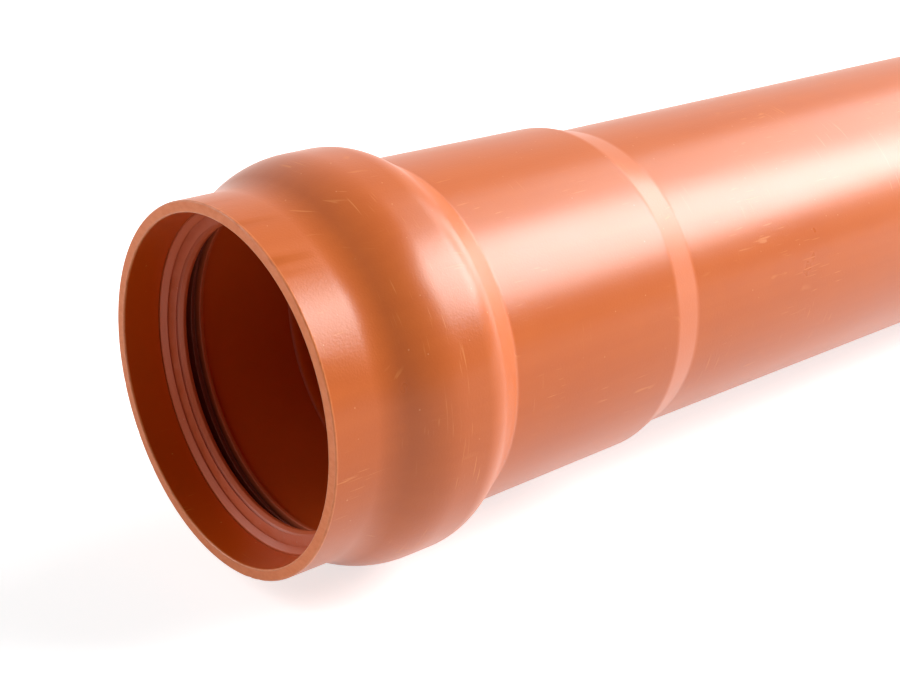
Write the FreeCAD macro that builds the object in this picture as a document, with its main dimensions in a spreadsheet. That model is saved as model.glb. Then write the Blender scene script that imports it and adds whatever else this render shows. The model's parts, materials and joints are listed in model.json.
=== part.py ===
import FreeCAD, Part
import math
import os
import Sketcher

# One length of plastic sewer pipe with a ring socket formed on one end, and
# the rubber sealing ring that sits in the socket. Both are lathe shapes about
# the pipe's own axis. Own axis: x = 0 at the socket mouth, x grows towards
# the plain end. All sizes in millimetres, angles in degrees.

doc = FreeCAD.newDocument("SewerPipe")
sheet = doc.addObject("Spreadsheet::Sheet", "Sizes")

# ---------------------------------------------------------------- sizes
sizes = [
    # barrel and plain end
    ("laying_length", 1000.0, "plain end to the stop in the socket"),
    ("barrel_radius", 55.0, "outside of the pipe, nominal size 110"),
    ("barrel_wall", 4.0, "wall of the barrel"),
    ("chamfer_length", 6.0, "lead-in on the plain end, along the axis"),
    ("chamfer_depth", 1.6, "lead-in on the plain end, off the radius"),
    # socket, inside sizes follow the pipe end that goes in
    ("socket_clearance", 0.5, "pipe end to the lip and the body, each side"),
    ("stop_clearance", 0.1, "pipe end to the tapered body at the stop"),
    ("insertion_depth", 142.0, "mouth to the stop inside the socket"),
    ("lip_wall", 3.8, "wall of the lip"),
    ("body_wall", 3.7, "wall of the socket body at the chamber"),
    ("body_end_wall", 3.4, "wall of the socket body at the stop"),
    ("shoulder_length", 13.3, "cone from the socket body to the barrel"),
    ("mouth_round", 0.5, "rounding of the two mouth edges"),
    ("shoulder_round", 1.6, "rounding of the shoulder edges"),
    # ring chamber
    ("seat_start", 13.1, "mouth to the step where the ring begins"),
    ("seat_depth", 1.1, "step off the lip bore into the ring seat"),
    ("front_start", 7.1, "step to the foot of the front flank"),
    ("front_flank", 12.7, "front flank, along the axis"),
    ("crest_length", 22.7, "crest between the flanks"),
    ("rear_flank", 12.8, "rear flank, along the axis"),
    ("chamber_rise", 7.35, "crest above the lip"),
    ("chamber_wall", 3.6, "wall over the ring chamber"),
    ("wall_shift", 0.97, "inner flank corner beside the outer one"),
    ("front_foot_round", 20.0, "hollow rounding, lip to front flank"),
    ("front_head_round", 22.0, "rounding, front flank to crest"),
    ("rear_head_round", 12.0, "rounding, crest to rear flank"),
    ("rear_foot_round", 3.0, "hollow rounding, rear flank to body"),
    ("inner_front_round", 17.0, "inside rounding, front flank to crest"),
    ("inner_rear_round", 8.0, "inside rounding, crest to rear flank"),
    ("inner_foot_round", 6.0, "inside rounding, rear flank to body"),
    # sealing ring, heights measured inwards from the lip's bore
    ("ring_gap", 0.3, "clearance between the ring and the pipe"),
    ("nose_height", 0.5, "ring's nose"),
    ("cone_height", 2.2, "back of the front cone"),
    ("face_height", 5.5, "inner edge of the steep face"),
    ("tip_height", 6.2, "crown of the sealing lip"),
    ("second_height", 2.7, "small second lip"),
    ("bead_height", 1.7, "rear bead"),
    ("pocket_depth", 0.7, "pockets, outwards from the lip's bore"),
    ("fine_groove", 0.5, "depth of both fine grooves"),
    ("cone_length", 2.4, "front cone, along the axis"),
    ("face_length", 0.95, "steep face, along the axis"),
    ("tip_place", 2.35, "steep face to the crown of the sealing lip"),
    ("tip_back", 1.2, "crown to the back edge of the sealing lip"),
    ("pocket_place", 1.6, "back edge to the pocket behind the lip"),
    ("second_place", 2.6, "start of the pocket to the second lip"),
    ("bead_place", 3.7, "second lip to the rear bead"),
    ("bead_length", 1.3, "rear bead, along the axis"),
    ("band_stop", 3.4, "back of the band to the rear flank's foot"),
    ("band_face", 0.75, "height of the band's blunt back end"),
    ("lip_edge_round", 0.25, "rounding of the lips' inner edges"),
]
value = {}
for row, (name, number, note) in enumerate(sizes, start=1):
    sheet.set("A%d" % row, name)
    sheet.set("B%d" % row, repr(number))
    sheet.set("C%d" % row, note)
    sheet.setAlias("B%d" % row, name)
    value[name] = number
doc.recompute()


# ---------------------------------------------------------------- helpers
def newBody(label):
    body = doc.addObject("PartDesign::Body", label)
    body.Label = label
    return body


def originPlane(body, role):
    for feature in body.Origin.OriginFeatures:
        if feature.Role == role:
            return feature
    raise RuntimeError("no origin plane " + role)


# Closed outline in the body's XY plane. Each corner is (along, radius), both
# given as formulas on the sheet, and both held as dimensions in the sketch.
def latheSketch(body, name, corners):
    sketch = body.newObject("Sketcher::SketchObject", name)
    sketch.AttachmentSupport = [(originPlane(body, "XY_Plane"), "")]
    sketch.MapMode = "FlatFace"
    points = [FreeCAD.Vector(evaluate(a), evaluate(r), 0) for a, r in corners]
    count = len(points)
    for i in range(count):
        line = Part.LineSegment(points[i], points[(i + 1) % count])
        sketch.addGeometry(line, False)
    for i in range(count):
        nextLine = (i + 1) % count
        sketch.addConstraint(Sketcher.Constraint("Coincident", i, 2, nextLine, 1))
    for i, (along, radius) in enumerate(corners):
        if along == "0":
            sketch.addConstraint(Sketcher.Constraint("PointOnObject", i, 1, -2))
        else:
            held = Sketcher.Constraint("DistanceX", -1, 1, i, 1, points[i].x)
            number = sketch.addConstraint(held)
            sketch.setExpression("Constraints[%d]" % number, onSheet(along))
        held = Sketcher.Constraint("DistanceY", -1, 1, i, 1, points[i].y)
        number = sketch.addConstraint(held)
        sketch.setExpression("Constraints[%d]" % number, onSheet(radius))
    doc.recompute()
    return sketch


# A formula is a sum of sheet names and numbers, written "a + b - c * d".
def onSheet(formula):
    words = []
    for word in formula.split():
        words.append("Sizes." + word if word in value else word)
    return " ".join(words)


def evaluate(formula):
    total = 0.0
    sign = 1.0
    term = None
    for word in formula.split():
        if word in ("+", "-"):
            total += sign * term
            sign = 1.0 if word == "+" else -1.0
            term = None
        elif word == "*":
            continue
        else:
            number = value[word] if word in value else float(word)
            term = number if term is None else term * number
    return total + sign * term


def revolve(body, sketch, name):
    feature = body.newObject("PartDesign::Revolution", name)
    feature.Profile = sketch
    feature.ReferenceAxis = (sketch, ["H_Axis"])
    feature.Angle = 360.0
    sketch.Visibility = False
    doc.recompute()
    return feature


# Full circle edges of a lathe shape at a given place along the axis.
def edgesAt(feature, along, radius):
    names = []
    for number, edge in enumerate(feature.Shape.Edges, start=1):
        curve = edge.Curve
        if not isinstance(curve, Part.Circle):
            continue
        if abs(curve.Center.x - along) < 0.02 and abs(curve.Radius - radius) < 0.02:
            names.append("Edge%d" % number)
    if not names:
        raise RuntimeError("no edge at %.2f, %.2f" % (along, radius))
    return names


def roundEdges(body, base, name, places, radius):
    names = []
    for along, away in places:
        names += edgesAt(base, evaluate(along), evaluate(away))
    fillet = body.newObject("PartDesign::Fillet", name)
    fillet.Base = (base, names)
    fillet.Radius = evaluate(radius)
    fillet.setExpression("Radius", onSheet(radius))
    doc.recompute()
    return fillet


# ---------------------------------------------------------------- pipe
overall = "laying_length + insertion_depth"
shoulderEnd = "insertion_depth + shoulder_length"
frontStart = "seat_start + front_start"
frontEnd = frontStart + " + front_flank"
rearStart = frontEnd + " + crest_length"
rearEnd = rearStart + " + rear_flank"
lipBore = "barrel_radius + socket_clearance"
lipRadius = lipBore + " + lip_wall"
crestRadius = lipRadius + " + chamber_rise"
chamberBore = crestRadius + " - chamber_wall"
seatRadius = lipBore + " + seat_depth"
seatEnd = frontStart + " + wall_shift + seat_depth * 1.4"
bodyRadius = lipBore + " + body_wall"
stopBore = "barrel_radius + stop_clearance"
stopRadius = stopBore + " + body_end_wall"
boreRadius = "barrel_radius - barrel_wall"

pipe = newBody("pipe")
pipeOutline = [
    ("0", lipBore),
    ("0", lipRadius),
    (frontStart, lipRadius),
    (frontEnd, crestRadius),
    (rearStart, crestRadius),
    (rearEnd, bodyRadius),
    ("insertion_depth", stopRadius),
    (shoulderEnd, "barrel_radius"),
    (overall + " - chamfer_length", "barrel_radius"),
    (overall, "barrel_radius - chamfer_depth"),
    (overall, boreRadius),
    (shoulderEnd, boreRadius),
    ("insertion_depth", stopBore),
    (rearEnd + " - wall_shift", lipBore),
    (rearStart + " - wall_shift", chamberBore),
    (frontEnd + " + wall_shift", chamberBore),
    (seatEnd, seatRadius),
    ("seat_start + seat_depth * 0.4", seatRadius),
    ("seat_start", lipBore),
]
pipeSketch = latheSketch(pipe, "PipeOutline", pipeOutline)
pipeShape = revolve(pipe, pipeSketch, "PipeTurned")
pipeRounds = [
    ("MouthRound", [("0", lipRadius), ("0", lipBore)], "mouth_round"),
    ("FrontFootRound", [(frontStart, lipRadius)], "front_foot_round"),
    ("FrontHeadRound", [(frontEnd, crestRadius)], "front_head_round"),
    ("RearHeadRound", [(rearStart, crestRadius)], "rear_head_round"),
    ("RearFootRound", [(rearEnd, bodyRadius)], "rear_foot_round"),
    ("ShoulderRound", [("insertion_depth", stopRadius),
                       (shoulderEnd, "barrel_radius"),
                       ("insertion_depth", stopBore),
                       (shoulderEnd, boreRadius)], "shoulder_round"),
    ("InsideFrontRound",
     [(frontEnd + " + wall_shift", chamberBore)], "inner_front_round"),
    ("InsideRearRound",
     [(rearStart + " - wall_shift", chamberBore)], "inner_rear_round"),
    ("InsideFootRound",
     [(rearEnd + " - wall_shift", lipBore)], "inner_foot_round"),
]
for name, places, radius in pipeRounds:
    pipeShape = roundEdges(pipe, pipeShape, name, places, radius)

# ---------------------------------------------------------------- sealing ring
nose = "seat_start + ring_gap"
coneEnd = "seat_start + cone_length"
faceEnd = coneEnd + " + face_length"
tipPlace = faceEnd + " + tip_place"
tipBack = tipPlace + " + tip_back"
pocketStart = tipBack + " + pocket_place"
secondLip = pocketStart + " + second_place"
beadStart = secondLip + " + bead_place"
beadEnd = beadStart + " + bead_length"
bandEnd = rearEnd + " - band_stop"
faceBore = lipBore + " - face_height"
tipBore = lipBore + " - tip_height"
secondBore = lipBore + " - second_height"
beadBore = lipBore + " - bead_height"
pocketRadius = lipBore + " + pocket_depth"
bandBore = lipBore + " + ring_gap"
ringCrest = chamberBore + " - ring_gap"
ringSeat = seatRadius + " - ring_gap"
frontHead = (frontEnd + " + wall_shift + ring_gap * 0.27", ringCrest)
rearHead = (rearStart + " - wall_shift - ring_gap * 0.27", ringCrest)

ring = newBody("sealing_ring")
ringOutline = [
    # front cone and steep face, each with a fine groove behind it
    (nose, lipBore + " - nose_height"),
    (coneEnd + " - 0.25", lipBore + " - cone_height"),
    (coneEnd, lipBore + " - cone_height + fine_groove"),
    (coneEnd + " + 0.2", lipBore + " - cone_height - 0.3"),
    (faceEnd, faceBore),
    (faceEnd + " + 0.45", faceBore + " + fine_groove"),
    (faceEnd + " + 1.1", faceBore),
    # sealing lip, second lip and rear bead, with pockets between them
    (tipPlace, tipBore),
    (tipBack, tipBore + " + 0.2"),
    (pocketStart, pocketRadius),
    (secondLip + " - 0.9", pocketRadius),
    (secondLip + " - 0.3", secondBore),
    (secondLip + " + 0.3", secondBore),
    (secondLip + " + 1.4", pocketRadius),
    (beadStart + " - 0.6", pocketRadius),
    (beadStart, beadBore),
    (beadEnd, beadBore),
    (beadEnd + " + 0.8", bandBore),
    # plain band, then back along the chamber wall
    (bandEnd, bandBore),
    (bandEnd, bandBore + " + band_face"),
    rearHead,
    frontHead,
    (seatEnd + " + ring_gap * 0.27", ringSeat),
    ("seat_start + seat_depth + ring_gap", ringSeat),
    (nose, lipBore + " + 0.2"),
]
ringSketch = latheSketch(ring, "RingOutline", ringOutline)
ringShape = revolve(ring, ringSketch, "RingTurned")
ringRounds = [
    ("LipRound", [(tipBack, tipBore + " + 0.2"),
                  (secondLip + " - 0.3", secondBore),
                  (secondLip + " + 0.3", secondBore),
                  (beadStart, beadBore)], "lip_edge_round"),
    ("RingFrontRound", [frontHead], "inner_front_round - ring_gap"),
    ("RingRearRound", [rearHead], "inner_rear_round - ring_gap"),
]
for name, places, radius in ringRounds:
    ringShape = roundEdges(ring, ringShape, name, places, radius)

# ---------------------------------------------------------------- rest
# The pipe lies on its ring chamber and on the far end of its barrel, so its
# axis dips a little towards the plain end. Tangent from the barrel's last
# full circle to the rounded rear edge of the chamber.
overallLength = evaluate(overall)
barrelEnd = evaluate(overall + " - chamfer_length")
flankDrop = evaluate(crestRadius) - evaluate(bodyRadius)
flankAngle = math.atan2(flankDrop, value["rear_flank"])
roundRadius = value["rear_head_round"]
roundPlace = evaluate(rearStart) - roundRadius * math.tan(flankAngle / 2)
roundDepth = evaluate(crestRadius) - roundRadius
along = barrelEnd - roundPlace
down = value["barrel_radius"] - roundDepth
dip = math.asin(roundRadius / math.hypot(along, down)) - math.atan2(down, along)
height = barrelEnd * math.sin(dip) + value["barrel_radius"] * math.cos(dip)

# Centre of the footprint at the origin, lowest point on z = 0.
leftmost = -evaluate(lipRadius) * math.sin(dip)
endRadius = value["barrel_radius"] - value["chamfer_depth"]
rightmost = overallLength * math.cos(dip) + endRadius * math.sin(dip)
shift = FreeCAD.Vector(-(leftmost + rightmost) / 2, 0, height)
turn = FreeCAD.Rotation(FreeCAD.Vector(0, 1, 0), math.degrees(dip))
bodies = [pipe, ring]
for body in bodies:
    body.Placement = FreeCAD.Placement(shift, turn)
doc.recompute()

# ---------------------------------------------------------------- write
for item in doc.Objects:
    if "Invalid" in item.State or "Error" in item.State:
        raise RuntimeError("object failed: " + item.Name)
for body in bodies:
    if body.Shape.isNull() or not body.Shape.isValid():
        raise RuntimeError("bad shape: " + body.Label)
    if len(body.Shape.Solids) != 1:
        raise RuntimeError("not one solid: " + body.Label)

os.makedirs("parts", exist_ok=True)
for body in bodies:
    body.Shape.exportStep("parts/" + body.Label + ".step")
    box = body.Shape.BoundBox
    print(body.Label, round(body.Shape.Volume), box)
print("dip", math.degrees(dip), "mouth centre", -shift.x, height)
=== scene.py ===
import bpy
import json
import math
import random
from mathutils import Matrix, Vector


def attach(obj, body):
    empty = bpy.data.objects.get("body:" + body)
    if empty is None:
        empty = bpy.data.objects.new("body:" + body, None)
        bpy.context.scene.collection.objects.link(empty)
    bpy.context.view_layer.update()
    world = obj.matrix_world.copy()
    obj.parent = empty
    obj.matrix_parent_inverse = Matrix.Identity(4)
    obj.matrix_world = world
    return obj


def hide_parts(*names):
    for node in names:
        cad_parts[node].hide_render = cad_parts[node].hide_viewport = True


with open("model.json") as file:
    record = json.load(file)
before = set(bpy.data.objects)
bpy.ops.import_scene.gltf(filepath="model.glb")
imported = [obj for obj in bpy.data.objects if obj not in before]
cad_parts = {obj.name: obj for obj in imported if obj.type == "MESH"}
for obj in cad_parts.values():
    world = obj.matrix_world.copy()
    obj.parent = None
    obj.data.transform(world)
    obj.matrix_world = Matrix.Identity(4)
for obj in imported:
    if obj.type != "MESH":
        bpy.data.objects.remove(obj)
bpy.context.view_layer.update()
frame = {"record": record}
print("frame loaded")

millimetre = 0.001
mounts = {mount["name"]: mount for mount in frame["record"]["mounts"]}
scene = bpy.context.scene


# Sizes of the pipe in millimetres, x counted from the mouth towards the plain end.
pipeSizes = {
    "lipBore": 55.5,
    "lipWall": 3.8,
    "mouthRound": 0.5,
    "lipRun": 0.9,              # the mouth's corners end here
    "sawnInset": 0.62,          # from the mouth's corners to its flat sawn face
    "seatStart": 13.1,          # step where the ring's seat begins
    "seatDepth": 1.1,
    "frontStart": 20.2,         # foot of the front flank
    "frontEnd": 32.9,
    "frontFootRound": 20.0,
    "frontCrestRound": 33.0,
    "rearStart": 55.6,
    "rearEnd": 68.4,
    "rearCrestRound": 18.0,
    "rearFootRound": 4.0,
    "chamberRise": 7.27,
    "chamberWall": 3.6,
    "chamberFrontRound": 17.0,
    "chamberRearRound": 8.0,
    "chamberFootRound": 6.0,
    "wallShift": 0.97,
    "bodyWall": 3.7,
    "stopPlace": 142.0,
    "stopBore": 55.1,
    "stopWall": 3.4,
    "shoulderLength": 13.3,
    "shoulderRound": 9.0,
    "barrelRadius": 54.98,
    "barrelWall": 4.0,
    "overall": 1142.0,
    "chamferLength": 6.0,
    "chamferDepth": 1.6,
    "boreRound": 1.6,
    "cornerRound": 0.15,
    "endBoreRound": 0.2,
    "endInset": 0.4,
    "endBoreRun": 0.8,
    "arcSteps": 10,
    "longestRun": 24,
    "aroundSteps": 288,
}
# The pipe's own axis and the middle of its mouth, taken from the mounts.
along = Vector(mounts["spigot"]["axis"]).normalized()
side = Vector((0, 1, 0))
above = along.cross(side)
mouthCentre = Vector(mounts["socket_mouth"]["pos_m"])
mouthCentre -= along * (pipeSizes["seatStart"] / 2 * millimetre)
restTurn = Matrix((along, side, above)).transposed().to_4x4()
restPlace = Matrix.Translation(mouthCentre) @ restTurn


# Rounds the corners of an outline. Each corner is (along, radius, rounding, zone).
def roundedOutline(corners, arcSteps):
    outline = []
    count = len(corners)
    for i, (x, r, rounding, zone) in enumerate(corners):
        here = Vector((x, r))
        if rounding <= 0:
            outline.append((x, r, zone))
            continue
        back = (Vector(corners[i - 1][:2]) - here).normalized()
        ahead = (Vector(corners[(i + 1) % count][:2]) - here).normalized()
        half = back.angle(ahead) / 2
        reach = rounding / math.tan(half)
        middle = here + (back + ahead).normalized() * (rounding / math.sin(half))
        start = here + back * reach - middle
        turn = start.angle_signed(here + ahead * reach - middle)
        for step in range(arcSteps + 1):
            spoke = start.copy()
            spoke.rotate(Matrix.Rotation(-turn * step / arcSteps, 2))
            outline.append((middle.x + spoke.x, middle.y + spoke.y, zone))
    return outline


# Splits long straight runs so that no span is longer than the given length.
def splitRuns(outline, longest):
    result = []
    count = len(outline)
    for i, (x, r, zone) in enumerate(outline):
        nx, nr, nextZone = outline[(i + 1) % count]
        parts = max(1, math.ceil(math.hypot(nx - x, nr - r) / longest))
        for part in range(parts):
            share = part / parts
            mark = zone if part == 0 else (zone if zone == nextZone else "plain")
            result.append((x + (nx - x) * share, r + (nr - r) * share, mark))
    return result


sharpDegrees = 32      # corners steeper than this are shaded as edges
zoneColours = {
    "plain": (0.0, 0.0, 0.0, 1.0),
    "sawn": (1.0, 0.0, 0.0, 1.0),      # cut faces, paler partly from the cut and partly as painted light
    "pocket": (0.0, 1.0, 0.0, 1.0),    # hollows of the ring, painted dark as shade
    "edge": (0.0, 1.0, 0.0, 1.0),      # worn outer corners, also painted brighter as a highlight line
    "inner": (0.0, 0.0, 1.0, 1.0),     # smooth inner wall, seen down the mouth, painted a deeper shaded colour
}


# Turns a closed outline about the pipe's axis. wobble moves a point (along, radius).
def latheMesh(name, outline, steps, wobble=None):
    vertices, faces, zones = [], [], []
    rows = len(outline)
    for k in range(steps):
        angle = 2 * math.pi * k / steps
        for x, r, zone in outline:
            if wobble:
                x, r = wobble(x, r, angle, zone)
            spot = Vector((x, -r * math.sin(angle), r * math.cos(angle)))
            vertices.append(restPlace @ (spot * millimetre))
            zones.append(zoneColours[zone])
    for k in range(steps):
        after = (k + 1) % steps
        for j in range(rows):
            nextRow = (j + 1) % rows
            faces.append((k * rows + j, k * rows + nextRow,
                          after * rows + nextRow, after * rows + j))
    mesh = bpy.data.meshes.new(name)
    mesh.from_pydata(vertices, [], faces)
    layer = mesh.color_attributes.new("zones", "FLOAT_COLOR", "POINT")
    layer.data.foreach_set("color", [c for zone in zones for c in zone])
    mesh.update()
    mesh.shade_smooth()
    mesh.set_sharp_from_angle(angle=math.radians(sharpDegrees))
    piece = bpy.data.objects.new(name, mesh)
    scene.collection.objects.link(piece)
    return piece


def addNode(tree, kind, at, **settings):
    node = tree.nodes.new(kind)
    node.location = (at[0] * 200, at[1] * 200)
    for name, setting in settings.items():
        setattr(node, name, setting)
    return node


def join(tree, start, end):
    tree.links.new(start, end)


def mathNode(tree, at, operation, first, second=None, third=None, clamp=False):
    node = addNode(tree, "ShaderNodeMath", at, operation=operation, use_clamp=clamp)
    for socket, source in zip(node.inputs, (first, second, third)):
        if source is None:
            continue
        if isinstance(source, (int, float)):
            socket.default_value = source
        else:
            join(tree, source, socket)
    return node.outputs[0]


def rangeNode(tree, at, source, low, high, toLow=0.0, toHigh=1.0):
    node = addNode(tree, "ShaderNodeMapRange", at, interpolation_type="SMOOTHSTEP")
    join(tree, source, node.inputs["Value"])
    for name, number in (("From Min", low), ("From Max", high),
                         ("To Min", toLow), ("To Max", toHigh)):
        node.inputs[name].default_value = number
    return node.outputs["Result"]


def stretchedNoise(tree, at, source, stretch, turn, detail=2.0, roughness=0.5):
    mapping = addNode(tree, "ShaderNodeMapping", at)
    mapping.inputs["Scale"].default_value = stretch
    mapping.inputs["Rotation"].default_value = turn
    join(tree, source, mapping.inputs["Vector"])
    noise = addNode(tree, "ShaderNodeTexNoise", (at[0] + 1, at[1]))
    noise.inputs["Scale"].default_value = 1.0
    noise.inputs["Detail"].default_value = detail
    noise.inputs["Roughness"].default_value = roughness
    join(tree, mapping.outputs["Vector"], noise.inputs["Vector"])
    return noise.outputs["Fac"]


def mixColours(tree, at, factor, first, second):
    node = addNode(tree, "ShaderNodeMix", at, data_type="RGBA", blend_type="MIX")
    for socket, source in ((node.inputs[0], factor), (node.inputs[6], first),
                           (node.inputs[7], second)):
        if isinstance(source, (int, float, tuple)):
            socket.default_value = source
        else:
            join(tree, source, socket)
    return node.outputs[2]


def newGroup(name, inputs, outputs):
    group = bpy.data.node_groups.new(name, "ShaderNodeTree")
    for label, kind, start in inputs:
        socket = group.interface.new_socket(label, in_out="INPUT", socket_type=kind)
        if start is not None:
            socket.default_value = start
    for label, kind in outputs:
        group.interface.new_socket(label, in_out="OUTPUT", socket_type=kind)
    entry = addNode(group, "NodeGroupInput", (-6, 0))
    leave = addNode(group, "NodeGroupOutput", (6, 0))
    return group, entry.outputs, leave.inputs


def placeGroup(tree, group, at, place, **numbers):
    node = addNode(tree, "ShaderNodeGroup", at, node_tree=group)
    join(tree, place, node.inputs["Place"])
    for name, number in numbers.items():
        node.inputs[name].default_value = number
    return node


# Short fine scratches in two directions, each broken into separate strokes.
def makeScratches():
    group, given, result = newGroup(
        "fineScratches",
        [("Place", "NodeSocketVector", None), ("Amount", "NodeSocketFloat", 0.5)],
        [("Mask", "NodeSocketFloat")])
    strokes = []
    directions = [((1500, 70, 70), (0.3, 0.5, 0.2)), ((90, 1700, 110), (0.9, 0.1, 0.7)),
                  ((100, 80, 1600), (0.2, 1.1, 0.4))]
    for row, (stretch, turn) in enumerate(directions):
        lines = stretchedNoise(group, (-4, row * 2), given["Place"], stretch, turn, 1.0)
        line = rangeNode(group, (-2, row * 2), lines, 0.66, 0.74)
        where = stretchedNoise(group, (-4, row * 2 + 1), given["Place"],
                               (38, 38, 38), (turn[2], turn[0], turn[1]), 1.0)
        patch = rangeNode(group, (-2, row * 2 + 1), where, 0.57, 0.68)
        strokes.append(mathNode(group, (0, row * 2), "MULTIPLY", line, patch))
    both = mathNode(group, (1, 0), "MAXIMUM", strokes[0], strokes[1])
    every = mathNode(group, (2, 0), "MAXIMUM", both, strokes[2])
    mask = mathNode(group, (3, 0), "MULTIPLY", every, given["Amount"], clamp=True)
    join(group, mask, result["Mask"])
    return group


# Tiny separate specks, such as dust and pits.
def makeSpecks():
    group, given, result = newGroup(
        "tinySpecks",
        [("Place", "NodeSocketVector", None), ("Fineness", "NodeSocketFloat", 700.0),
         ("Amount", "NodeSocketFloat", 0.5)],
        [("Mask", "NodeSocketFloat")])
    cells = addNode(group, "ShaderNodeTexVoronoi", (-4, 0))
    join(group, given["Place"], cells.inputs["Vector"])
    join(group, given["Fineness"], cells.inputs["Scale"])
    dot = rangeNode(group, (-3, 0), cells.outputs["Distance"], 0.10, 0.22, 1.0, 0.0)
    shade = addNode(group, "ShaderNodeSeparateColor", (-3, 1))
    join(group, cells.outputs["Color"], shade.inputs["Color"])
    chosen = rangeNode(group, (-2, 1), shade.outputs["Red"], 0.978, 0.985)
    both = mathNode(group, (-1, 0), "MULTIPLY", dot, chosen)
    mask = mathNode(group, (0, 0), "MULTIPLY", both, given["Amount"], clamp=True)
    join(group, mask, result["Mask"])
    return group


# Soft cloudy unevenness with faint lines drawn along or around the pipe.
def makeDrawLines():
    group, given, result = newGroup(
        "drawLines",
        [("Place", "NodeSocketVector", None)],
        [("Along", "NodeSocketFloat"), ("Around", "NodeSocketFloat"),
         ("Cloud", "NodeSocketFloat")])
    level = (0, 0, 0)
    lengthwise = stretchedNoise(group, (-4, 2), given["Place"], (3, 260, 260), level, 3.0)
    crosswise = stretchedNoise(group, (-4, 0), given["Place"], (420, 9, 9), level, 3.0)
    cloud = stretchedNoise(group, (-4, -2), given["Place"], (26, 26, 26), level, 4.0, 0.6)
    join(group, lengthwise, result["Along"])
    join(group, crosswise, result["Around"])
    join(group, cloud, result["Cloud"])
    return group


scratches = makeScratches()
specks = makeSpecks()
drawLines = makeDrawLines()
print("node groups made")


def newMaterial(name):
    material = bpy.data.materials.new(name)
    material.use_nodes = True
    tree = material.node_tree
    tree.nodes.clear()
    shader = addNode(tree, "ShaderNodeBsdfPrincipled", (8, 0))
    output = addNode(tree, "ShaderNodeOutputMaterial", (10, 0))
    join(tree, shader.outputs["BSDF"], output.inputs["Surface"])
    coordinates = addNode(tree, "ShaderNodeTexCoord", (-8, 0))
    return material, tree, shader, coordinates.outputs["Object"]


# The pipe's plastic.
plasticLook = {
    "colour": (0.575, 0.107, 0.0040, 1.0),
    "paler": (0.610, 0.121, 0.0065, 1.0),
    # painted shade: a deeper, more saturated copy of the colour for the inner walls
    "innerShadeColour": (0.60, 0.078, 0.003, 1.0),
    # cut faces: paler partly from the cut, partly painted light on faces the lamps barely
    # reach
    "sawnPaintedLightColour": (0.740, 0.190, 0.060, 1.0),
    "sawnPaintedLightPaler": (0.820, 0.245, 0.095, 1.0),
    # worn corners, partly a painted highlight: a brighter orange line along the edges
    "edgeWearHighlightColour": (0.80, 0.22, 0.060, 1.0),
    "scratchColour": (0.74, 0.24, 0.06, 1.0),
    "speckColour": (0.80, 0.36, 0.15, 1.0),
    "gloss": 0.295,              # roughness of the smooth skin
    "sawnGloss": 0.62,
    "cloudGloss": 0.10,          # how much the roughness wanders
    "scratchDulling": 0.15,
    "scratchAmount": 0.6,
    "speckFineness": 620.0,
    "speckAmount": 0.5,
    "grainRelief": 0.30,         # shares of the relief's depth
    "lineRelief": 0.07,
    "scratchRelief": 0.12,
    "reliefStrength": 0.35,
    "reliefDepth": 0.0003,       # metres
}


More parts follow.
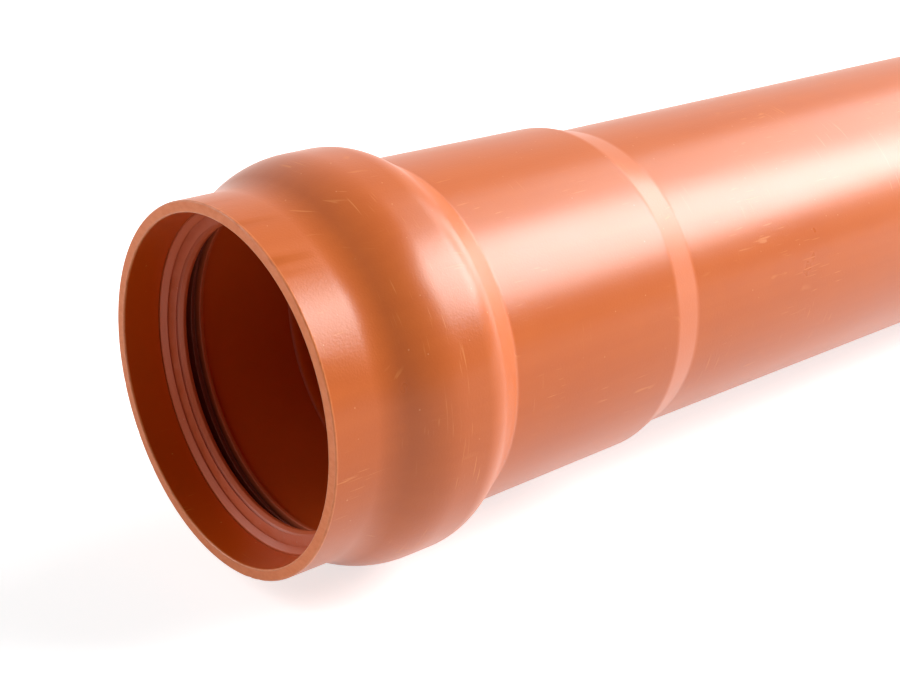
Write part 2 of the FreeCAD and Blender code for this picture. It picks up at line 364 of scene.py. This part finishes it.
def makePlastic(look):
    material, tree, shader, place = newMaterial("pipePlastic")
    lines = placeGroup(tree, drawLines, (-6, 2), place)
    marks = placeGroup(tree, scratches, (-6, 0), place,
                       Amount=look["scratchAmount"])
    dots = placeGroup(tree, specks, (-6, -2), place,
                      Fineness=look["speckFineness"], Amount=look["speckAmount"])
    zoneNode = addNode(tree, "ShaderNodeAttribute", (-6, 4), attribute_name="zones")
    zones = addNode(tree, "ShaderNodeSeparateColor", (-5, 4))
    join(tree, zoneNode.outputs["Color"], zones.inputs["Color"])

    # skin colour: a cloudy blend of two near shades, with faint lines
    blend = mathNode(tree, (-3, 3), "ADD",
                     mathNode(tree, (-4, 3), "MULTIPLY", lines.outputs["Along"], 0.35),
                     mathNode(tree, (-4, 2), "MULTIPLY", lines.outputs["Cloud"], 0.65))
    skin = mixColours(tree, (-2, 3), rangeNode(tree, (-2, 4), blend, 0.30, 0.70),
                      look["colour"], look["paler"])
    # the inner wall is painted a deeper, more saturated colour as shade
    skin = mixColours(tree, (-1, 3), zones.outputs["Blue"], skin, look["innerShadeColour"])
    skin = mixColours(tree, (-1, 2), marks.outputs["Mask"], skin, look["scratchColour"])
    skin = mixColours(tree, (0, 2), dots.outputs["Mask"], skin, look["speckColour"])

    # cut faces: paler, partly from the cut and partly as painted light, dull, with the saw's
    # strokes
    strokes = stretchedNoise(tree, (-4, 6), place, (90, 330, 620), (0.7, 0, 0), 4.0, 0.6)
    sawn = mixColours(tree, (-1, 5), rangeNode(tree, (-2, 6), strokes, 0.25, 0.75),
                      look["sawnPaintedLightColour"], look["sawnPaintedLightPaler"])
    colour = mixColours(tree, (2, 3), zones.outputs["Red"], skin, sawn)
    # worn corners: partly wear, partly a painted highlight line in brighter orange
    edgeBreak = stretchedNoise(tree, (-4, 8), place, (400, 220, 220), (0, 0, 0), 3.0, 0.7)
    edge = mathNode(tree, (0, 8), "MULTIPLY", zones.outputs["Green"],
                    rangeNode(tree, (-2, 8), edgeBreak, 0.25, 0.60, 0.35, 1.0))
    colour = mixColours(tree, (3, 3), edge, colour, look["edgeWearHighlightColour"])
    join(tree, colour, shader.inputs["Base Color"])

    # roughness: wandering gloss, dull where it is scratched or cut
    wander = mathNode(tree, (0, -1), "MULTIPLY_ADD", lines.outputs["Cloud"],
                      look["cloudGloss"], look["gloss"] - look["cloudGloss"] / 2)
    dull = mathNode(tree, (1, -1), "MULTIPLY_ADD", marks.outputs["Mask"],
                    look["scratchDulling"], wander)
    cut = mathNode(tree, (1, -2), "MULTIPLY", zones.outputs["Red"],
                   look["sawnGloss"] - look["gloss"])
    join(tree, mathNode(tree, (2, -1), "ADD", dull, cut, clamp=True),
         shader.inputs["Roughness"])

    # relief
    fine = stretchedNoise(tree, (-4, -4), place, (1500, 1500, 1500), (0, 0, 0), 2.0)
    height = mathNode(tree, (-1, -4), "MULTIPLY", fine, look["grainRelief"])
    ripple = mathNode(tree, (-1, -5), "MULTIPLY", lines.outputs["Along"],
                      look["lineRelief"])
    height = mathNode(tree, (0, -4), "ADD", height, ripple)
    pits = mathNode(tree, (0, -5), "MULTIPLY", marks.outputs["Mask"],
                    look["scratchRelief"])
    height = mathNode(tree, (1, -4), "SUBTRACT", height, pits)
    cutRelief = mathNode(tree, (1, -5), "MULTIPLY", strokes, zones.outputs["Red"])
    height = mathNode(tree, (2, -4), "ADD", height, cutRelief)
    bump = addNode(tree, "ShaderNodeBump", (5, -3))
    bump.inputs["Strength"].default_value = look["reliefStrength"]
    bump.inputs["Distance"].default_value = look["reliefDepth"]
    join(tree, height, bump.inputs["Height"])
    join(tree, bump.outputs["Normal"], shader.inputs["Normal"])
    return material


# The ring's rubber.
rubberLook = {
    "colour": (0.520, 0.085, 0.020, 1.0),
    "paler": (0.600, 0.115, 0.034, 1.0),
    # painted shade: the pipe's deeper inner colour, also used on the ring's inner parts
    "innerShadeColour": (0.60, 0.078, 0.003, 1.0),
    # painted shade: darkens the ring's hollows
    "pocketShadeColour": (0.20, 0.030, 0.008, 1.0),
    "dustColour": (0.62, 0.42, 0.34, 1.0),
    "gloss": 0.50,
    "glossWander": 0.07,
    "dustFineness": 900.0,
    "dustAmount": 0.35,
    "reliefStrength": 0.25,
    "reliefDepth": 0.0002,       # metres
}


def makeRubber(look):
    material, tree, shader, place = newMaterial("ringRubber")
    lines = placeGroup(tree, drawLines, (-6, 2), place)
    dust = placeGroup(tree, specks, (-6, -2), place,
                      Fineness=look["dustFineness"], Amount=look["dustAmount"])
    zoneNode = addNode(tree, "ShaderNodeAttribute", (-6, 4), attribute_name="zones")
    zones = addNode(tree, "ShaderNodeSeparateColor", (-5, 4))
    join(tree, zoneNode.outputs["Color"], zones.inputs["Color"])
    colour = mixColours(tree, (-2, 2), rangeNode(tree, (-3, 3), lines.outputs["Around"],
                                                 0.30, 0.70),
                        look["colour"], look["paler"])
    colour = mixColours(tree, (-1, 2), dust.outputs["Mask"], colour,
                        look["dustColour"])
    # the ring's inner parts get the same painted shade as the pipe's inner wall
    colour = mixColours(tree, (0, 2), zones.outputs["Blue"], colour, look["innerShadeColour"])
    # the hollows are painted dark as shade
    colour = mixColours(tree, (1, 2), zones.outputs["Green"], colour, look["pocketShadeColour"])
    join(tree, colour, shader.inputs["Base Color"])
    rough = rangeNode(tree, (0, 0), lines.outputs["Cloud"], 0.3, 0.7,
                      look["gloss"] - look["glossWander"], look["gloss"] + look["glossWander"])
    join(tree, rough, shader.inputs["Roughness"])
    grain = stretchedNoise(tree, (-4, -3), place, (900, 900, 900), (0, 0, 0), 2.0)
    bump = addNode(tree, "ShaderNodeBump", (5, -3))
    bump.inputs["Strength"].default_value = look["reliefStrength"]
    bump.inputs["Distance"].default_value = look["reliefDepth"]
    join(tree, grain, bump.inputs["Height"])
    join(tree, bump.outputs["Normal"], shader.inputs["Normal"])
    return material


pipePlastic = makePlastic(plasticLook)
ringRubber = makeRubber(rubberLook)
print("materials made")


# The pipe's section, from the mouth along the outside and back along the bore.
def pipeOutline(s):
    lip = s["lipBore"] + s["lipWall"]
    crest = lip + s["chamberRise"]
    chamber = crest - s["chamberWall"]
    body = s["lipBore"] + s["bodyWall"]
    stopOut = s["stopBore"] + s["stopWall"]
    cone = s["stopPlace"] + s["shoulderLength"]
    bore = s["barrelRadius"] - s["barrelWall"]
    seat = s["lipBore"] + s["seatDepth"]
    end = s["overall"]
    endOut = s["barrelRadius"] - s["chamferDepth"]
    shift = s["wallShift"]
    return [
        (0, s["lipBore"] + s["sawnInset"], 0, "sawn"),
        (0, lip - s["sawnInset"], 0, "sawn"),
        (0, lip, s["mouthRound"], "edge"),
        (s["lipRun"], lip, 0, "plain"),
        (s["frontStart"], lip, s["frontFootRound"], "plain"),
        (s["frontEnd"], crest, s["frontCrestRound"], "plain"),
        (s["rearStart"], crest, s["rearCrestRound"], "plain"),
        (s["rearEnd"], body, s["rearFootRound"], "plain"),
        (s["stopPlace"], stopOut, s["shoulderRound"], "plain"),
        (cone, s["barrelRadius"], s["shoulderRound"], "plain"),
        (end - s["chamferLength"], s["barrelRadius"], s["cornerRound"], "plain"),
        (end, endOut, s["cornerRound"], "edge"),
        (end, endOut - s["endInset"], 0, "sawn"),
        (end, bore + s["endInset"], 0, "sawn"),
        (end, bore, s["endBoreRound"], "edge"),
        (end - s["endBoreRun"], bore, 0, "inner"),
        (cone, bore, s["boreRound"], "inner"),
        (s["stopPlace"], s["stopBore"], s["boreRound"], "inner"),
        (s["rearEnd"] - shift, s["lipBore"], s["chamberFootRound"], "inner"),
        (s["rearStart"] - shift, chamber, s["chamberRearRound"], "inner"),
        (s["frontEnd"] + shift, chamber, s["chamberFrontRound"], "plain"),
        (s["frontStart"] + shift + s["seatDepth"] * 1.4, seat, 0, "plain"),
        (s["seatStart"] + s["seatDepth"] * 0.4, seat, 0, "plain"),
        (s["seatStart"], s["lipBore"], s["cornerRound"], "inner"),
        (s["lipRun"], s["lipBore"], 0, "inner"),
        (0, s["lipBore"], s["mouthRound"], "edge"),
    ]


# Small nicks left by the saw on the mouth's outer corner.
nickLook = {
    "seed": 11,
    "count": 26,
    "width": (0.004, 0.014),     # radians to each side
    "depth": (0.05, 0.22),       # millimetres
    "reach": 2,                  # only this near the mouth and outside this radius
    "outside": 58,
}
random.seed(nickLook["seed"])
nicks = [(random.uniform(0, 2 * math.pi), random.uniform(*nickLook["width"]),
          random.uniform(*nickLook["depth"])) for number in range(nickLook["count"])]


def mouthWobble(x, r, angle, zone):
    if zone == "edge" and x < nickLook["reach"] and r > nickLook["outside"]:
        for centre, width, depth in nicks:
            away = abs((angle - centre + math.pi) % (2 * math.pi) - math.pi) / width
            if away < 1:
                x += depth * (1 - away)
                r -= depth * (1 - away)
    return x, r


outline = roundedOutline(pipeOutline(pipeSizes), pipeSizes["arcSteps"])
outline = splitRuns(outline, pipeSizes["longestRun"])
pipePiece = latheMesh("sewerPipeShell", outline, pipeSizes["aroundSteps"], mouthWobble)
pipePiece.data.materials.append(pipePlastic)
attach(pipePiece, "root")
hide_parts("pipe")
print("pipe made:", len(pipePiece.data.polygons), "faces")


# Sizes of the ring in millimetres; its heights count inwards from the lip's bore.
ringSizes = {
    "gap": 0.3,                  # left between ring and pipe
    "noseHeight": 0.5,
    "coneHeight": 2.2,
    "faceHeight": 5.5,
    "tipHeight": 6.2,
    "secondHeight": 2.7,
    "beadHeight": 1.7,
    "pocketDepth": 0.7,
    "grooveDepth": 0.8,
    "coneLength": 2.4,
    "faceLength": 0.95,
    "tipPlace": 2.35,
    "tipBack": 1.2,
    "pocketPlace": 1.6,
    "secondPlace": 2.6,
    "beadPlace": 3.7,
    "beadLength": 1.3,
    "bandStop": 3.4,
    "bandFace": 0.75,
    "rearRound": 7.7,
    "frontRound": 16.7,
    "arcSteps": 4,
    "longestRun": 8,
    "aroundSteps": 288,
}


# The ring's section: nose, lip, hollow painted dark as shade, bead and rear band. p is the
# pipe's sizes.
def ringOutline(s, p):
    bore = p["lipBore"]
    nose = p["seatStart"] + s["gap"]
    coneEnd = p["seatStart"] + s["coneLength"]
    faceEnd = coneEnd + s["faceLength"]
    tip = faceEnd + s["tipPlace"]
    tipBack = tip + s["tipBack"]
    pocket = tipBack + s["pocketPlace"]
    second = pocket + s["secondPlace"]
    bead = second + s["beadPlace"]
    beadEnd = bead + s["beadLength"]
    bandEnd = p["rearEnd"] - s["bandStop"]
    floor = bore + s["pocketDepth"]
    band = bore + s["gap"]
    crest = bore + p["lipWall"] + p["chamberRise"] - p["chamberWall"] - s["gap"]
    seat = bore + p["seatDepth"] - s["gap"]
    slip = p["wallShift"] + s["gap"] * 0.27
    return [
        (nose, bore - s["noseHeight"], 0.12, "plain"),
        (coneEnd - 0.35, bore - s["coneHeight"], 0.08, "plain"),
        (coneEnd, bore - s["coneHeight"] + s["grooveDepth"], 0.05, "plain"),
        (coneEnd + 0.25, bore - s["coneHeight"] - 0.3, 0.08, "plain"),
        (faceEnd, bore - s["faceHeight"], 0.10, "plain"),
        (faceEnd + 0.45, bore - s["faceHeight"] + s["grooveDepth"], 0.08, "plain"),
        (faceEnd + 1.1, bore - s["faceHeight"], 0.15, "plain"),
        (tip, bore - s["tipHeight"], 0.6, "plain"),
        (tipBack, bore - s["tipHeight"] + 0.2, 0.25, "plain"),
        (pocket - 0.6, floor - 2.0, 0, "pocket"),
        (pocket, floor, 0.3, "pocket"),
        (second - 0.9, floor, 0.3, "pocket"),
        (second - 0.3, bore - s["secondHeight"], 0.2, "pocket"),
        (second + 0.3, bore - s["secondHeight"], 0.2, "pocket"),
        (second + 1.4, floor, 0.3, "pocket"),
        (bead - 0.6, floor, 0.2, "pocket"),
        (bead, bore - s["beadHeight"], 0.25, "plain"),
        (beadEnd, bore - s["beadHeight"], 0.25, "plain"),
        (beadEnd + 0.8, band, 0.15, "inner"),
        (bandEnd, band, 0, "inner"),
        (bandEnd, band + s["bandFace"], 0, "inner"),
        (p["rearStart"] - slip, crest, s["rearRound"], "inner"),
        (p["frontEnd"] + slip, crest, s["frontRound"], "inner"),
        (p["frontStart"] + slip + p["seatDepth"] * 1.4, seat, 0, "plain"),
        (p["seatStart"] + p["seatDepth"] + s["gap"], seat, 0, "plain"),
        (nose, bore + 0.2, 0, "plain"),
    ]


outline = roundedOutline(ringOutline(ringSizes, pipeSizes), ringSizes["arcSteps"])
outline = splitRuns(outline, ringSizes["longestRun"])
ringPiece = latheMesh("sealingRing", outline, ringSizes["aroundSteps"])
ringPiece.data.materials.append(ringRubber)
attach(ringPiece, "root")
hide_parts("sealing_ring")
print("ring made:", len(ringPiece.data.polygons), "faces")


# Floor, background and lamps.
stageLook = {
    "floorColour": (0.78, 0.78, 0.78, 1.0),
    "floorShade": 0.985,         # the paint's darker patches
    "floorSize": 60.0,
    "floorGlow": 0.70,           # keeps the floor white where the lamps fall off
    "farGlow": 0.97,
    "glowStart": 0.8,            # metres from the middle, where the glow starts to rise
    "glowEnd": 3.2,
    "skyStrength": 0.04,
    "lampAim": 0.10,             # metres behind the mouth
}
# Every lamp aims at the socket: direction and height in degrees, distance and size in
# metres, power in watts. Direction 0 looks along the pipe from the plain end.
lampSet = {
    "keySoftbox": {"turn": 326, "rise": 35, "distance": 3.0, "size": 1.60, "power": 98},
    "sideSoftbox": {"turn": 352, "rise": 33, "distance": 3.0, "size": 2.20, "power": 46},
    "lowSoftbox": {"turn": 0, "rise": 12, "distance": 3.0, "size": 1.30, "power": 20},
    "faceSoftbox": {"turn": 132, "rise": 27, "distance": 3.0, "size": 1.60, "power": 34},
    "fillSoftbox": {"turn": 182, "rise": 42, "distance": 3.0, "size": 1.80, "power": 12},
}


# Rays that meet the white background itself: seen straight, through glass or mirrored.
def backgroundRays(tree):
    rays = addNode(tree, "ShaderNodeLightPath", (-4, -2))
    straight = mathNode(tree, (-3, -3), "MAXIMUM", rays.outputs["Is Camera Ray"],
                        rays.outputs["Is Transmission Ray"])
    return mathNode(tree, (-2, -2), "MAXIMUM", straight, rays.outputs["Is Glossy Ray"])


def makeFloor(look):
    mesh = bpy.data.meshes.new("paleFloor")
    reach = look["floorSize"] / 2
    mesh.from_pydata([(-reach, -reach, 0), (reach, -reach, 0), (reach, reach, 0),
                      (-reach, reach, 0)], [], [(0, 1, 2, 3)])
    piece = bpy.data.objects.new("paleFloor", mesh)
    scene.collection.objects.link(piece)
    material, tree, shader, place = newMaterial("paleFloorPaint")
    shade = stretchedNoise(tree, (-4, 0), place, (2, 2, 2), (0, 0, 0), 2.0)
    dim = tuple(look["floorShade"] * c for c in look["floorColour"][:3]) + (1.0,)
    join(tree, mixColours(tree, (0, 0), shade, look["floorColour"], dim),
         shader.inputs["Base Color"])
    shader.inputs["Roughness"].default_value = 0.9
    shader.inputs["Specular IOR Level"].default_value = 0.1
    away = addNode(tree, "ShaderNodeVectorMath", (-3, -5), operation="LENGTH")
    join(tree, place, away.inputs[0])
    glow = rangeNode(tree, (-1, -5), away.outputs["Value"],
                     look["glowStart"], look["glowEnd"],
                     look["floorGlow"], look["farGlow"])
    glow = mathNode(tree, (1, -2), "MULTIPLY", backgroundRays(tree), glow)
    join(tree, glow, shader.inputs["Emission Strength"])
    shader.inputs["Emission Color"].default_value = (1, 1, 1, 1)
    piece.data.materials.append(material)


def addSoftbox(name, target, lampLook):
    lamp = bpy.data.lights.new(name, "AREA")
    lamp.shape = "SQUARE"
    lamp.size = lampLook["size"]
    lamp.energy = lampLook["power"]
    holder = bpy.data.objects.new(name, lamp)
    scene.collection.objects.link(holder)
    turn, rise = math.radians(lampLook["turn"]), math.radians(lampLook["rise"])
    direction = Vector((math.cos(turn) * math.cos(rise),
                        math.sin(turn) * math.cos(rise), math.sin(rise)))
    holder.location = target + direction * lampLook["distance"]
    holder.rotation_euler = direction.to_track_quat("Z", "Y").to_euler()


def makeSky(look):
    world = bpy.data.worlds.new("paleSky")
    scene.world = world
    world.use_nodes = True
    tree = world.node_tree
    tree.nodes.clear()
    soft = addNode(tree, "ShaderNodeBackground", (0, 0))
    soft.inputs["Strength"].default_value = look["skyStrength"]
    white = addNode(tree, "ShaderNodeBackground", (0, -1))
    white.inputs["Strength"].default_value = 1.0
    for node in (soft, white):
        node.inputs["Color"].default_value = (1, 1, 1, 1)
    seen = backgroundRays(tree)
    blend = addNode(tree, "ShaderNodeMixShader", (2, 0))
    join(tree, seen, blend.inputs[0])
    join(tree, soft.outputs[0], blend.inputs[1])
    join(tree, white.outputs[0], blend.inputs[2])
    output = addNode(tree, "ShaderNodeOutputWorld", (3, 0))
    join(tree, blend.outputs[0], output.inputs["Surface"])


makeFloor(stageLook)
makeSky(stageLook)
lampTarget = mouthCentre + along * stageLook["lampAim"]
for lampName, lampLook in lampSet.items():
    addSoftbox(lampName, lampTarget, lampLook)

cameraSet = {
    "turn": -40.7,        # degrees, 0 looks along +Y
    "tip": 22.16,         # degrees downwards
    "lens": 63.9,
    "nearest": 0.01,      # nothing nearer than this is seen, in metres
    "ahead": 0.4823,      # the mouth's centre as the camera sees it, in metres
    "right": -0.0701,
    "below": 0.0170,
}


def placeCamera(look):
    turn, tip = math.radians(look["turn"]), math.radians(look["tip"])
    right = Vector((math.cos(turn), math.sin(turn), 0))
    level = Vector((-math.sin(turn), math.cos(turn), 0))
    up = Vector((0, 0, 1))
    forward = level * math.cos(tip) - up * math.sin(tip)
    down = -(up * math.cos(tip) + level * math.sin(tip))
    lens = bpy.data.cameras.new("viewCamera")
    lens.lens = look["lens"]
    lens.clip_start = look["nearest"]
    holder = bpy.data.objects.new("viewCamera", lens)
    scene.collection.objects.link(holder)
    place = mouthCentre - forward * look["ahead"] - right * look["right"]
    place -= down * look["below"]
    turnMatrix = Matrix((right, -down, -forward)).transposed().to_4x4()
    holder.matrix_world = Matrix.Translation(place) @ turnMatrix
    scene.camera = holder


placeCamera(cameraSet)
scene.view_settings.view_transform = "Standard"
print("stage, lamps and camera set")
